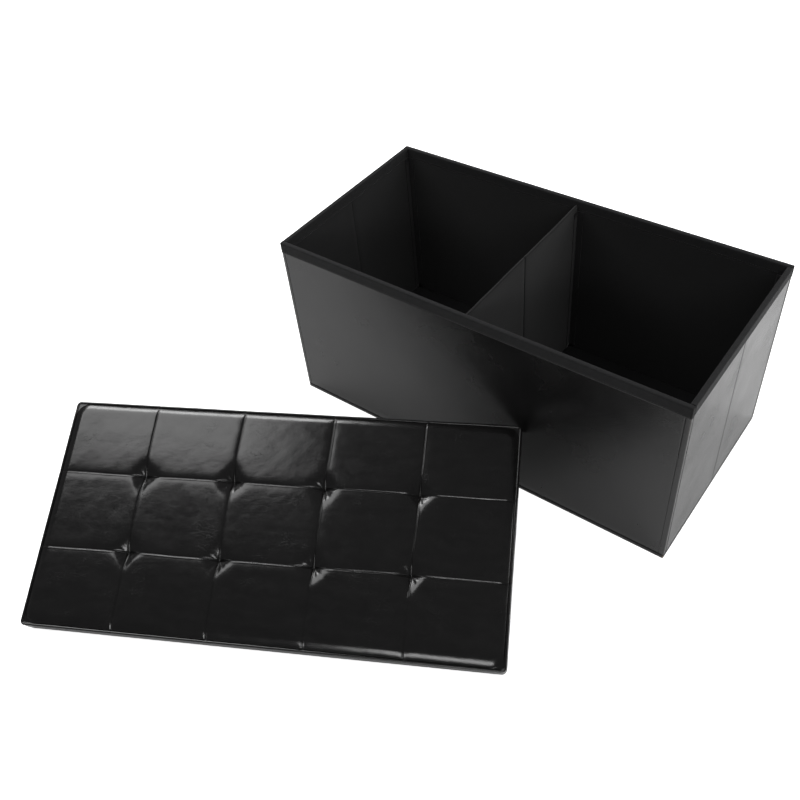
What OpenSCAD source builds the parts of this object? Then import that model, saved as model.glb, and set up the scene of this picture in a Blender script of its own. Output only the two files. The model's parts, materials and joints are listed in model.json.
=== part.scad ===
// Folding storage ottoman: a two-compartment box of padded panels and a lift-off tufted lid.
// Millimetres, +Z up. The origin is the centre of the box's underside, on the floor.
// The lid is off: it leans beside the box, near edge on the floor and one corner at the front wall.

/* [Box] */
// Length of the box over its two end walls
box_l = 756; // [600:2:1100]
// Depth of the box over its two long walls
box_d = 372; // [320:2:420]
// Height of the box from the floor to its rim
box_h = 345; // [300:1:380]
// Height of the matte binding that caps the rim of every wall
hem_h = 20; // [12:1:30]

/* [Walls] */
// Board inside each wall panel
wall_board_t = 7; // [4:0.5:8]
// Leatherette cover on the outer face and around the panel's edges
cover_t = 1; // [0.8:0.1:1.2]
// Fabric lining on the inner face
lining_t = 1; // [0.8:0.1:1.2]
// Gap under the walls, so that they slide over the base as the box folds
fold_gap = 0.5; // [0.4:0.1:1]
// Gap at each sewn corner and crease
seam_gap = 0.5; // [0.4:0.1:1]
// Width of the strip of leatherette sewn over each end wall's centre crease
crease_w = 16; // [12:1:24]
// Leg of the fabric tape sewn into each inner corner
tape_leg = 12; // [8:1:16]
// Thickness of that corner tape
tape_t = 0.8; // [0.6:0.1:1]

/* [Base] */
// Board that fills the footprint under the walls
base_board_t = 6; // [4:0.5:10]
// Cloth on the base board's underside and on its inner face
base_cloth_t = 1; // [0.6:0.1:1.5]

/* [Divider] */
// Board in each half of the divider
divider_board_t = 3; // [2:0.5:4]
// Cloth sleeve on the divider
divider_cloth_t = 0.8; // [0.6:0.1:1]
// How far the divider's top edge stays below the rim
divider_drop = 8; // [6:1:20]

/* [Lid] */
// Length of the lid
lid_l = 768; // [760:2:1110]
// Depth of the lid
lid_d = 384; // [376:2:430]
// Radius of the lid's corners seen from above
lid_corner_r = 8; // [6:1:14]
// Board that carries the lid
lid_board_t = 12; // [9:1:15]
// Foam pad on the board
lid_foam_t = 20; // [12:1:30]
// Leather of the lid: top sheet and side band
lid_leather_t = 1.5; // [1:0.1:2]
// Radius of the piping around the lid's top edge
piping_r = 2.2; // [1.8:0.1:2.4]
// Panels along the lid's length
tuft_columns = 5; // [3:1:7]
// Panels across the lid's depth
tuft_rows = 3; // [2:1:4]
// Width of the leather turned in under the lid's board
turn_in = 14; // [12:1:15]
// Thickness of the locating panel under the lid
locate_t = 4; // [3:0.5:4]
// Play between the locating panel and the walls, each side
locate_play = 4; // [3:0.5:6]

/* [Leaning lid] */
// Turn of the leaning lid, seen from above
lean_yaw = 28; // [15:1:35]
// Tilt of the leaning lid
lean_tilt = 22; // [20:1:30]
// Where the lid's middle stands along the box
lean_x = -142; // [-160:1:-120]
// Gap at the corner where the lid leans on the front wall
lean_gap = 1.5; // [1.2:0.1:3]

/* [Hidden] */
$fn = 32;
wall_t = wall_board_t + cover_t + lining_t;
base_h = base_board_t + 2 * base_cloth_t;
wall_z = base_h + fold_gap;
hem_z = box_h - hem_h;
inner_x = box_l / 2 - wall_t;
inner_y = box_d / 2 - wall_t;
flap_l = inner_y - seam_gap - seam_gap / 2;
divider_t = divider_board_t + 2 * divider_cloth_t;
divider_top = box_h - divider_drop;
crease_half = crease_w / 2;

flange_t = 1.2;
foam_step = 3;
board_top = flange_t + lid_board_t;
foam_top = board_top + lid_foam_t;
band_h = foam_top - foam_step;
locate_corner_r = 4;
washer_r = 8.5;
washer_play = 0.5;
washer_t = 1.5;
twine_r = 0.8;
twine_hole_r = 1;
board_hole_r = 2;
staple_crown = 12;
staple_w = 1.2;
staple_t = 0.6;
staple_leg = 6;
staple_inset = 9;
staple_pitch = 64;
staple_clear = 84;
seam_slit = 0.2;

// How far a cutting solid runs past the face that it cuts
over = 1;

// Furthest point of the tilted lid's underside towards the box, measured from the lid's middle
lean_reach = (lid_l / 2 - lid_corner_r) * sin(lean_yaw)
    + (lid_d / 2 - lid_corner_r) * cos(lean_tilt) * cos(lean_yaw)
    + lid_corner_r * sqrt(pow(sin(lean_yaw), 2) + pow(cos(lean_tilt) * cos(lean_yaw), 2));
lean_y = -box_d / 2 - lean_gap - lean_reach;
lean_z = lid_d / 2 * sin(lean_tilt);

board_c = [0.62, 0.50, 0.36];
card_c = [0.55, 0.50, 0.42];
cover_c = [0.10, 0.10, 0.11];
lining_c = [0.17, 0.17, 0.18];
hem_c = [0.13, 0.13, 0.14];
leather_c = [0.05, 0.05, 0.06];
foam_c = [0.90, 0.86, 0.66];
steel_c = [0.72, 0.73, 0.75];
twine_c = [0.80, 0.78, 0.72];

// A wall panel lies along X from 0 to len, its outer face on y = 0 and its inner face on y = wall_t.

module panel_board(len) {
    translate([cover_t, cover_t, wall_z + cover_t])
        cube([len - 2 * cover_t, wall_board_t, box_h - wall_z - 2 * cover_t]);
}

// Outer cover, wrapped around both ends and under the lower edge. crease cuts it back for the strip.
module panel_cover(len, crease = 0) {
    difference() {
        translate([0, 0, wall_z])
            cube([len, wall_t - lining_t, hem_z - wall_z]);
        translate([cover_t, cover_t, wall_z + cover_t])
            cube([len - 2 * cover_t, wall_board_t + over, box_h]);
        if (crease > 0)
            translate([len - crease, -over, wall_z - over])
                cube([crease + over, cover_t + over, box_h]);
    }
}

module panel_lining(len) {
    translate([0, wall_t - lining_t, wall_z])
        cube([len, lining_t, hem_z - wall_z]);
}

// Binding: caps the rim and comes down both faces and both ends.
module panel_hem(len) {
    difference() {
        translate([0, 0, hem_z])
            cube([len, wall_t, hem_h]);
        panel_board(len);
    }
}

module back_place() {
    translate([box_l / 2, box_d / 2, 0])
        rotate([0, 0, 180])
            children();
}

module front_place() {
    translate([-box_l / 2, -box_d / 2, 0])
        children();
}

// Left rear half of an end wall: from the rear corner to the crease at the middle.
module left_rear_place() {
    translate([-box_l / 2, seam_gap / 2 + flap_l, 0])
        rotate([0, 0, -90])
            children();
}

module left_front_place() {
    mirror([0, 1, 0])
        left_rear_place()
            children();
}

module right_rear_place() {
    mirror([1, 0, 0])
        left_rear_place()
            children();
}

module right_front_place() {
    mirror([1, 0, 0])
        left_front_place()
            children();
}

module flap_board() { color(board_c) panel_board(flap_l); }
module flap_cover() { color(cover_c) panel_cover(flap_l, crease_half); }
module flap_lining() { color(lining_c) panel_lining(flap_l); }
module flap_hem() { color(hem_c) panel_hem(flap_l); }

// Leatherette over the crease of the left end wall, level with the covers on both sides.
module crease_strip() {
    color(cover_c)
        translate([-box_l / 2, -crease_half, wall_z])
            cube([cover_t, crease_w, hem_z - wall_z]);
}

// Angle of tape sewn into the left rear inner corner.
module corner_tape() {
    color(lining_c)
        translate([-inner_x, inner_y, wall_z])
            difference() {
                translate([0, -tape_leg, 0])
                    cube([tape_leg, tape_leg, hem_z - wall_z]);
                translate([tape_t, -tape_leg - over, -over])
                    cube([tape_leg, tape_leg + over - tape_t, box_h]);
            }
}

// Base

module base_plate(inset, z, t) {
    translate([inset - box_l / 2, inset - box_d / 2, z])
        cube([box_l - 2 * inset, box_d - 2 * inset, t]);
}

module base_board() {
    color(board_c) base_plate(cover_t, base_cloth_t, base_board_t);
}

module base_underside_cloth() {
    color(lining_c) base_plate(cover_t, 0, base_cloth_t);
}

module base_lining() {
    color(lining_c) base_plate(cover_t, base_cloth_t + base_board_t, base_cloth_t);
}

module base_edge_band() {
    color(cover_c)
        difference() {
            base_plate(0, 0, base_h);
            base_plate(cover_t, -over, base_h + 2 * over);
        }
}

// Long walls

module back_board() { color(board_c) back_place() panel_board(box_l); }
module back_cover() { color(cover_c) back_place() panel_cover(box_l); }
module back_lining() { color(lining_c) back_place() panel_lining(box_l); }
module back_hem() { color(hem_c) back_place() panel_hem(box_l); }

module front_board() { color(board_c) front_place() panel_board(box_l); }
module front_cover() { color(cover_c) front_place() panel_cover(box_l); }
module front_lining() { color(lining_c) front_place() panel_lining(box_l); }
module front_hem() { color(hem_c) front_place() panel_hem(box_l); }

// End walls, each in two halves

module left_rear_board() { left_rear_place() flap_board(); }
module left_rear_cover() { left_rear_place() flap_cover(); }
module left_rear_lining() { left_rear_place() flap_lining(); }
module left_rear_hem() { left_rear_place() flap_hem(); }
module left_crease_strip() { crease_strip(); }
module left_rear_corner_tape() { corner_tape(); }

module left_front_board() { left_front_place() flap_board(); }
module left_front_cover() { left_front_place() flap_cover(); }
module left_front_lining() { left_front_place() flap_lining(); }
module left_front_hem() { left_front_place() flap_hem(); }
module left_front_corner_tape() { mirror([0, 1, 0]) corner_tape(); }

module right_rear_board() { right_rear_place() flap_board(); }
module right_rear_cover() { right_rear_place() flap_cover(); }
module right_rear_lining() { right_rear_place() flap_lining(); }
module right_rear_hem() { right_rear_place() flap_hem(); }
module right_crease_strip() { mirror([1, 0, 0]) crease_strip(); }
module right_rear_corner_tape() { mirror([1, 0, 0]) corner_tape(); }

module right_front_board() { right_front_place() flap_board(); }
module right_front_cover() { right_front_place() flap_cover(); }
module right_front_lining() { right_front_place() flap_lining(); }
module right_front_hem() { right_front_place() flap_hem(); }

// Divider, in two halves that fold towards +X

module half_divider_board() {
    color(card_c)
        translate([-divider_board_t / 2, seam_gap / 2 + divider_cloth_t, wall_z + divider_cloth_t])
            cube([
                divider_board_t,
                flap_l - 2 * divider_cloth_t,
                divider_top - wall_z - 2 * divider_cloth_t
            ]);
}

// Closed sleeve, cut back on the -X face for the tape over the crease.
module half_divider_cloth() {
    color(lining_c)
        difference() {
            translate([-divider_t / 2, seam_gap / 2, wall_z])
                cube([divider_t, flap_l, divider_top - wall_z]);
            half_divider_board();
            translate([-divider_t / 2 - over, -over, wall_z - over])
                cube([divider_cloth_t + over, crease_half + over, box_h]);
        }
}

module divider_rear_board() { half_divider_board(); }
module divider_rear_cloth() { half_divider_cloth(); }
module divider_front_board() { mirror([0, 1, 0]) half_divider_board(); }
module divider_front_cloth() { mirror([0, 1, 0]) half_divider_cloth(); }

module divider_crease_tape() {
    color(lining_c)
        translate([-divider_t / 2, -crease_half, wall_z])
            cube([divider_cloth_t, crease_w, divider_top - wall_z]);
}

// Angle of tape that joins the divider to the back wall, on the side it folds towards.
module divider_rear_tape() {
    color(lining_c)
        translate([divider_t / 2, inner_y, wall_z])
            difference() {
                translate([0, -tape_leg, 0])
                    cube([tape_leg, tape_leg, hem_z - wall_z]);
                translate([tape_t, -tape_leg - over, -over])
                    cube([tape_leg, tape_leg + over - tape_t, box_h]);
            }
}

// Lid: its own frame has the middle of the underside at the origin and +Z out of the tufted face.

module lid_place() {
    translate([lean_x, lean_y, lean_z])
        rotate([0, 0, lean_yaw])
            rotate([lean_tilt, 0, 0])
                children();
}

module rounded_plate(l, d, r, t) {
    linear_extrude(t)
        union() {
            square([l - 2 * r, d], center = true);
            square([l, d - 2 * r], center = true);
            for (sx = [-1, 1], sy = [-1, 1])
                translate([sx * (l / 2 - r), sy * (d / 2 - r)])
                    circle(r);
        }
}

// A plate of the lid's outline, moved in by inset.
module lid_plate(inset, z, t) {
    translate([0, 0, z])
        rounded_plate(lid_l - 2 * inset, lid_d - 2 * inset, lid_corner_r - inset, t);
}

module at_tufts() {
    for (i = [1 : tuft_columns - 1], j = [1 : tuft_rows - 1])
        translate([lid_l * (i / tuft_columns - 0.5), lid_d * (j / tuft_rows - 0.5), 0])
            children();
}

module lid_board() {
    color(board_c)
        lid_place()
            difference() {
                lid_plate(lid_leather_t, flange_t, lid_board_t);
                at_tufts()
                    translate([0, 0, flange_t - over]) {
                        cylinder(r = board_hole_r, h = lid_board_t + 2 * over);
                        cylinder(r = washer_r + washer_play, h = washer_t + over);
                    }
            }
}

// Foam, stepped in at the top edge where the piping runs.
module lid_foam() {
    color(foam_c)
        lid_place()
            difference() {
                union() {
                    lid_plate(lid_leather_t, board_top, band_h - board_top);
                    lid_plate(2 * piping_r, band_h, foam_top - band_h);
                }
                at_tufts()
                    translate([0, 0, board_top - over])
                        cylinder(r = twine_hole_r, h = lid_foam_t + 2 * over);
            }
}

module lid_cover() {
    color(leather_c)
        lid_place()
            lid_plate(2 * piping_r, foam_top, lid_leather_t);
}

// Cuts a frame of the lid's outline into four strips, with a seam across each corner.
module corner_slits() {
    for (sx = [-1, 1], sy = [-1, 1])
        translate([sx * (lid_l / 2 - lid_corner_r), sy * (lid_d / 2 - lid_corner_r), -over])
            rotate([0, 0, atan2(sy, sx)])
                translate([-turn_in, -seam_slit / 2, 0])
                    cube([turn_in + lid_corner_r + over, seam_slit, foam_top]);
}

// Side band: four strips, sewn together at the corners.
module lid_side_band() {
    color(leather_c)
        lid_place()
            difference() {
                lid_plate(0, 0, band_h);
                lid_plate(lid_leather_t, -over, foam_top);
                corner_slits();
            }
}

// Lower edge of the side band, turned in under the board and stapled there.
module lid_turned_edge() {
    color(leather_c)
        lid_place()
            difference() {
                lid_plate(lid_leather_t, 0, flange_t);
                translate([0, 0, -over])
                    linear_extrude(flange_t + 2 * over)
                        square([lid_l - 2 * turn_in, lid_d - 2 * turn_in], center = true);
                corner_slits();
            }
}

module piping_bend() {
    rotate_extrude(angle = 90)
        translate([lid_corner_r - piping_r, 0])
            circle(piping_r);
}

module piping_run(len) {
    rotate([0, 90, 0])
        cylinder(r = piping_r, h = len, center = true);
}

module lid_piping() {
    long_run = lid_l - 2 * lid_corner_r;
    short_run = lid_d - 2 * lid_corner_r;
    color(leather_c)
        lid_place()
            translate([0, 0, band_h + piping_r]) {
                for (turn = [0, 180])
                    rotate([0, 0, turn]) {
                        translate([0, lid_d / 2 - piping_r, 0])
                            piping_run(long_run);
                        translate([lid_l / 2 - piping_r, 0, 0])
                            rotate([0, 0, 90])
                                piping_run(short_run);
                        translate([long_run / 2, short_run / 2, 0])
                            piping_bend();
                        translate([-long_run / 2, short_run / 2, 0])
                            rotate([0, 0, 90])
                                piping_bend();
                    }
            }
}

module lid_underside_cloth() {
    color(lining_c)
        lid_place()
            translate([turn_in - lid_l / 2, turn_in - lid_d / 2, 0])
                cube([lid_l - 2 * turn_in, lid_d - 2 * turn_in, flange_t]);
}

// Drops inside the rim and keeps the lid from sliding off.
module lid_locating_panel() {
    color(lining_c)
        lid_place()
            translate([0, 0, -locate_t])
                rounded_plate(
                    2 * (inner_x - locate_play),
                    2 * (inner_y - locate_play),
                    locate_corner_r,
                    locate_t
                );
}

module lid_tuft_twine() {
    color(twine_c)
        lid_place()
            at_tufts()
                translate([0, 0, flange_t + washer_t])
                    cylinder(r = twine_r, h = foam_top - flange_t - washer_t);
}

module lid_tuft_washers() {
    color(steel_c)
        lid_place()
            at_tufts()
                translate([0, 0, flange_t])
                    cylinder(r = washer_r, h = washer_t);
}

module staple() {
    translate([-staple_crown / 2, -staple_w / 2, -staple_t])
        cube([staple_crown, staple_w, staple_t]);
    for (side = [-1, 1])
        translate([side * (staple_crown - staple_t) / 2 - staple_t / 2, -staple_w / 2, -staple_t])
            cube([staple_t, staple_w, staple_leg]);
}

module staple_row(run) {
    count = floor(run / staple_pitch);
    for (i = [0 : count])
        translate([(i - count / 2) * staple_pitch, 0, 0])
            staple();
}

module lid_staples() {
    color(steel_c)
        lid_place()
            for (turn = [0, 180])
                rotate([0, 0, turn]) {
                    translate([0, lid_d / 2 - staple_inset, 0])
                        staple_row(lid_l - staple_clear);
                    translate([lid_l / 2 - staple_inset, 0, 0])
                        rotate([0, 0, 90])
                            staple_row(lid_d - staple_clear);
                }
}

base_board();
base_underside_cloth();
base_edge_band();
base_lining();
back_board();
back_cover();
back_lining();
back_hem();
left_rear_board();
left_rear_cover();
left_rear_lining();
left_rear_hem();
left_crease_strip();
left_rear_corner_tape();
left_front_board();
left_front_cover();
left_front_lining();
left_front_hem();
left_front_corner_tape();
front_board();
front_cover();
front_lining();
front_hem();
right_rear_board();
right_rear_cover();
right_rear_lining();
right_rear_hem();
right_crease_strip();
right_rear_corner_tape();
right_front_board();
right_front_cover();
right_front_lining();
right_front_hem();
divider_rear_board();
divider_rear_cloth();
divider_crease_tape();
divider_rear_tape();
divider_front_board();
divider_front_cloth();
lid_board();
lid_foam();
lid_cover();
lid_side_band();
lid_turned_edge();
lid_piping();
lid_underside_cloth();
lid_locating_panel();
lid_tuft_twine();
lid_tuft_washers();
lid_staples();
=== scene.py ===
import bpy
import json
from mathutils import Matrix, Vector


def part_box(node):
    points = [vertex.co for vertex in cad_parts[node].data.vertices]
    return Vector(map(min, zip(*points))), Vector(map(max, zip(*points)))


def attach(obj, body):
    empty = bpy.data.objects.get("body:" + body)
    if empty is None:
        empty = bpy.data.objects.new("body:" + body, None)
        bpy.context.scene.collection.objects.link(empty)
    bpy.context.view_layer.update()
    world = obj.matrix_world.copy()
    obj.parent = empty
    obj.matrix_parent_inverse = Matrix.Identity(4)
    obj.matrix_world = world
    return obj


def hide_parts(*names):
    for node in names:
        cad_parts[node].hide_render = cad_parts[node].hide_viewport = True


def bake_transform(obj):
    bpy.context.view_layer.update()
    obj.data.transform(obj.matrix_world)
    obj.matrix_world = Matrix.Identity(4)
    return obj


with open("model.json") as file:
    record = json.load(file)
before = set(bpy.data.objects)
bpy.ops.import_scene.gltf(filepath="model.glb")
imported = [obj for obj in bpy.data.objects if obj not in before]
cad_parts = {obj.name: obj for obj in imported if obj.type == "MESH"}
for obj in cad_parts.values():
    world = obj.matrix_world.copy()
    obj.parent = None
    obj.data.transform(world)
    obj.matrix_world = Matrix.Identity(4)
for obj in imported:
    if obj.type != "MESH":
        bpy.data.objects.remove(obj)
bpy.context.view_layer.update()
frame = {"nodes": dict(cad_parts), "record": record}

import json
import math

import bpy
import numpy as np
from mathutils import Matrix, Vector

scene = bpy.context.scene
nodes = frame["nodes"]
print("frame loaded,", len(nodes), "nodes")


# places, all from the frame

def low(node):
    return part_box(node)[0]


def high(node):
    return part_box(node)[1]


boxHigh = high("base_edge_band")
halfLength, halfDepth = boxHigh.x, boxHigh.y
rimTop, hemBottom = high("front_hem").z, low("front_hem").z
wallBottom = low("front_cover").z
wallThick = high("front_lining").y - low("front_hem").y
innerX, innerY = halfLength - wallThick, halfDepth - wallThick
liningThick = high("front_lining").y - low("front_lining").y
creaseHalf = high("left_crease_strip").y
dividerTop = high("divider_rear_cloth").z
dividerHalf = high("divider_front_cloth").x
tapeLeg = high("left_rear_corner_tape").x - low("left_rear_corner_tape").x
tapeThick = high("divider_crease_tape").x - low("divider_crease_tape").x


def lidPlace():
    # the underside cloth is a tilted slab: its own axes are the lid's
    corners = np.array([v.co for v in nodes["lid_underside_cloth"].data.vertices])
    corners = np.unique(corners.round(6), axis=0)
    middle = corners.mean(axis=0)
    axes = np.linalg.eigh(np.cov((corners - middle).T))[1]
    along, out = axes[:, 2], axes[:, 0]
    along = along * np.sign(along[0])
    out = out * np.sign(out[2])
    across = np.cross(out, along)
    thick = np.ptp((corners - middle) @ out)
    turn = np.column_stack([along, across, out])
    return turn, middle - out * thick / 2


lidTurn, lidOrigin = lidPlace()


def toLid(points):
    return np.asarray(points, float) @ lidTurn.T + lidOrigin


def lidSpan(node):
    # lowest and highest corner of a node in the lid's own frame
    co = np.array([v.co for v in nodes[node].data.vertices])
    local = (co - lidOrigin) @ lidTurn
    return local.min(axis=0), local.max(axis=0)


# camera, floor and light

cameraView = {
    "azimuth": 41.427,
    "elevation": 44.897,
    "roll": -6.597,
    "distance": 1.4920,
    "lens": 41.14,
    "sensor": 36.0,
    "nearest": 0.05,
    "furthest": 60,
    "target": (-0.0661, -0.2731, 0.2),
}


def addCamera(p):
    a, e, r = (math.radians(p[k]) for k in ("azimuth", "elevation", "roll"))
    back = Vector((math.sin(a) * math.cos(e), -math.cos(a) * math.cos(e), math.sin(e)))
    right = (-back).cross(Vector((0, 0, 1))).normalized()
    up = right.cross(-back)
    sideways = right * math.cos(r) + up * math.sin(r)
    upright = up * math.cos(r) - right * math.sin(r)
    cam = bpy.data.cameras.new("camera")
    cam.lens, cam.sensor_width = p["lens"], p["sensor"]
    cam.clip_start, cam.clip_end = p["nearest"], p["furthest"]
    place = bpy.data.objects.new("camera", cam)
    scene.collection.objects.link(place)
    turn = Matrix((sideways, upright, back)).transposed().to_4x4()
    spot = Vector(p["target"]) + back * p["distance"]
    place.matrix_world = Matrix.Translation(spot) @ turn
    scene.camera = place


addCamera(cameraView)

studio = {
    "floorSize": 40.0,
    "floorGlow": 0.06,
    "floorLift": 0.80,     # what the camera sees on top of that
    "floorShade": 0.82,
    "floorRough": 0.9,
    "floorSpecular": 0.1,
    "backdrop": (0.93, 0.93, 0.93, 1),
    "roomLight": (0.12, 0.12, 0.123, 1),
    "unseenInGloss": ("floorWash",),
    # name: middle, aim, spin in degrees, width, height, power
    "lamps": {
        "overheadSoftbox": ((-1.60, -0.55, 1.95), (-1.60, -0.55, 0.0), 28, 1.54, 1.4, 22.0),
        "leftSoftbox": ((-2.09, 0.45, 1.95), (-2.09, 0.45, 0.0), 28, 1.6, 0.8, 40.0),
        "rightSoftbox": ((2.2, 1.6, 1.0), (0.4, 0.4, 0.0), 0, 1.4, 1.2, 26.0),
        "frontStrip": ((1.05, -2.10, 1.20), (0.0, -0.4, 0.1), 0, 1.1, 0.45, 11.0),
        "floorWash": ((1.0, 0.9, 2.6), (1.0, 0.9, 0.0), 0, 4.5, 4.5, 100.0),
    },
}


def addStudio(p):
    mesh = bpy.data.meshes.new("floor")
    s = p["floorSize"]
    mesh.from_pydata([(-s, -s, 0), (s, -s, 0), (s, s, 0), (-s, s, 0)], [], [(0, 1, 2, 3)])
    floor = bpy.data.objects.new("floor", mesh)
    scene.collection.objects.link(floor)
    mat = bpy.data.materials.new("paleFloor")
    mat.use_nodes = True
    shader = mat.node_tree.nodes["Principled BSDF"]
    shade = p["floorShade"]
    shader.inputs["Base Color"].default_value = (shade, shade, shade, 1)
    shader.inputs["Roughness"].default_value = p["floorRough"]
    shader.inputs["Specular IOR Level"].default_value = p["floorSpecular"]
    shader.inputs["Emission Color"].default_value = (1, 1, 1, 1)
    ray = mat.node_tree.nodes.new("ShaderNodeLightPath")
    glow = mat.node_tree.nodes.new("ShaderNodeMath")
    glow.operation = "MULTIPLY_ADD"
    glow.inputs[1].default_value = p["floorLift"]
    glow.inputs[2].default_value = p["floorGlow"]
    mat.node_tree.links.new(ray.outputs["Is Camera Ray"], glow.inputs[0])
    mat.node_tree.links.new(glow.outputs[0], shader.inputs["Emission Strength"])
    mesh.materials.append(mat)

    world = bpy.data.worlds.new("studio")
    scene.world = world
    world.use_nodes = True
    tree = world.node_tree
    room = tree.nodes["Background"]
    room.inputs["Color"].default_value = p["roomLight"]
    seen = tree.nodes.new("ShaderNodeBackground")
    seen.inputs["Color"].default_value = p["backdrop"]
    path = tree.nodes.new("ShaderNodeLightPath")
    mix = tree.nodes.new("ShaderNodeMixShader")
    tree.links.new(path.outputs["Is Camera Ray"], mix.inputs[0])
    tree.links.new(room.outputs[0], mix.inputs[1])
    tree.links.new(seen.outputs[0], mix.inputs[2])
    tree.links.new(mix.outputs[0], tree.nodes["World Output"].inputs["Surface"])

    for name, (spot, aim, spin, width, height, power) in p["lamps"].items():
        lamp = bpy.data.lights.new(name, "AREA")
        lamp.shape, lamp.energy = "RECTANGLE", power
        lamp.size, lamp.size_y = width, height
        holder = bpy.data.objects.new(name, lamp)
        holder.location = spot
        holder.visible_camera = False
        holder.visible_glossy = name not in p["unseenInGloss"]
        facing = (Vector(aim) - Vector(spot)).to_track_quat("-Z", "Y").to_matrix()
        holder.rotation_euler = (Matrix.Rotation(math.radians(spin), 3, "Z") @ facing).to_euler()
        scene.collection.objects.link(holder)


addStudio(studio)
scene.view_settings.view_transform = "Standard"
print("camera, floor and light set")


# materials

def startMaterial(name, **values):
    mat = bpy.data.materials.new(name)
    mat.use_nodes = True
    tree = mat.node_tree
    shader = tree.nodes["Principled BSDF"]
    for key, value in values.items():
        shader.inputs[key.replace("_", " ")].default_value = value
    return mat, tree, shader


def addNode(tree, kind, fixed=None, **inputs):
    node = tree.nodes.new("ShaderNode" + kind)
    for key, value in (fixed or {}).items():
        setattr(node, key, value)
    for key, value in inputs.items():
        node.inputs[key.replace("_", " ")].default_value = value
    return node


def coordinates(tree, scale=(1, 1, 1), turn=(0, 0, 0), source="Object", kind="POINT"):
    place = addNode(tree, "TexCoord")
    mapping = addNode(tree, "Mapping", {"vector_type": kind}, Scale=scale, Rotation=turn)
    tree.links.new(place.outputs[source], mapping.inputs["Vector"])
    return mapping.outputs["Vector"]


def blendMath(tree, kind, a, b):
    node = addNode(tree, "Math", {"operation": kind})
    for slotIndex, value in enumerate((a, b)):
        if isinstance(value, (int, float)):
            node.inputs[slotIndex].default_value = value
        else:
            tree.links.new(value, node.inputs[slotIndex])
    return node.outputs[0]


def remap(tree, value, fromLow, fromHigh, toLow, toHigh):
    node = addNode(tree, "MapRange")
    for slotIndex, number in enumerate((fromLow, fromHigh, toLow, toHigh), 1):
        node.inputs[slotIndex].default_value = number
    tree.links.new(value, node.inputs[0])
    return node.outputs[0]


def bumped(tree, shader, heights):
    # heights: (socket, strength, distance in metres), coarse first
    previous = None
    for height, strength, distance in heights:
        bump = addNode(tree, "Bump", Strength=strength, Distance=distance)
        tree.links.new(height, bump.inputs["Height"])
        if previous:
            tree.links.new(previous, bump.inputs["Normal"])
        previous = bump.outputs["Normal"]
    tree.links.new(previous, shader.inputs["Normal"])


def shaded(tree, shader, factor, dark, light):
    # base colour between a dark and a light tone
    ramp = addNode(tree, "ValToRGB")
    ramp.color_ramp.elements[0].color = (*dark, 1)
    ramp.color_ramp.elements[1].color = (*light, 1)
    tree.links.new(factor, ramp.inputs["Fac"])
    tree.links.new(ramp.outputs["Color"], shader.inputs["Base Color"])


lidLeatherLook = {
    "dark": (0.0028, 0.0027, 0.0027),
    "light": (0.0064, 0.0062, 0.0061),
    "roughLow": 0.15,
    "roughHigh": 0.22,
    "grainScale": 620.0,  # pebbles per metre
    "creaseScale": 150.0,
    "streakScale": 330.0,
    "stretch": 3.4,       # creases run along the lid's length
    "softScale": 70.0,    # slow mottling of colour and gloss
    "patchScale": 21.0,   # handled patches, where the creases show
    "warpScale": 38.0,
    "warp": 0.012,
    "coat": 0.12,
    "coatRough": 0.22,
    "creaseDull": 0.12,
    # painted shade in the creases: how far their colour is darkened
    "creaseShade": 0.4,
    # strength, and depth in metres
    "softBump": (0.30, 0.0007),
    "lineBump": (0.22, 0.00016),
    "pebbleBump": (0.22, 0.00020),
}


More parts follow.
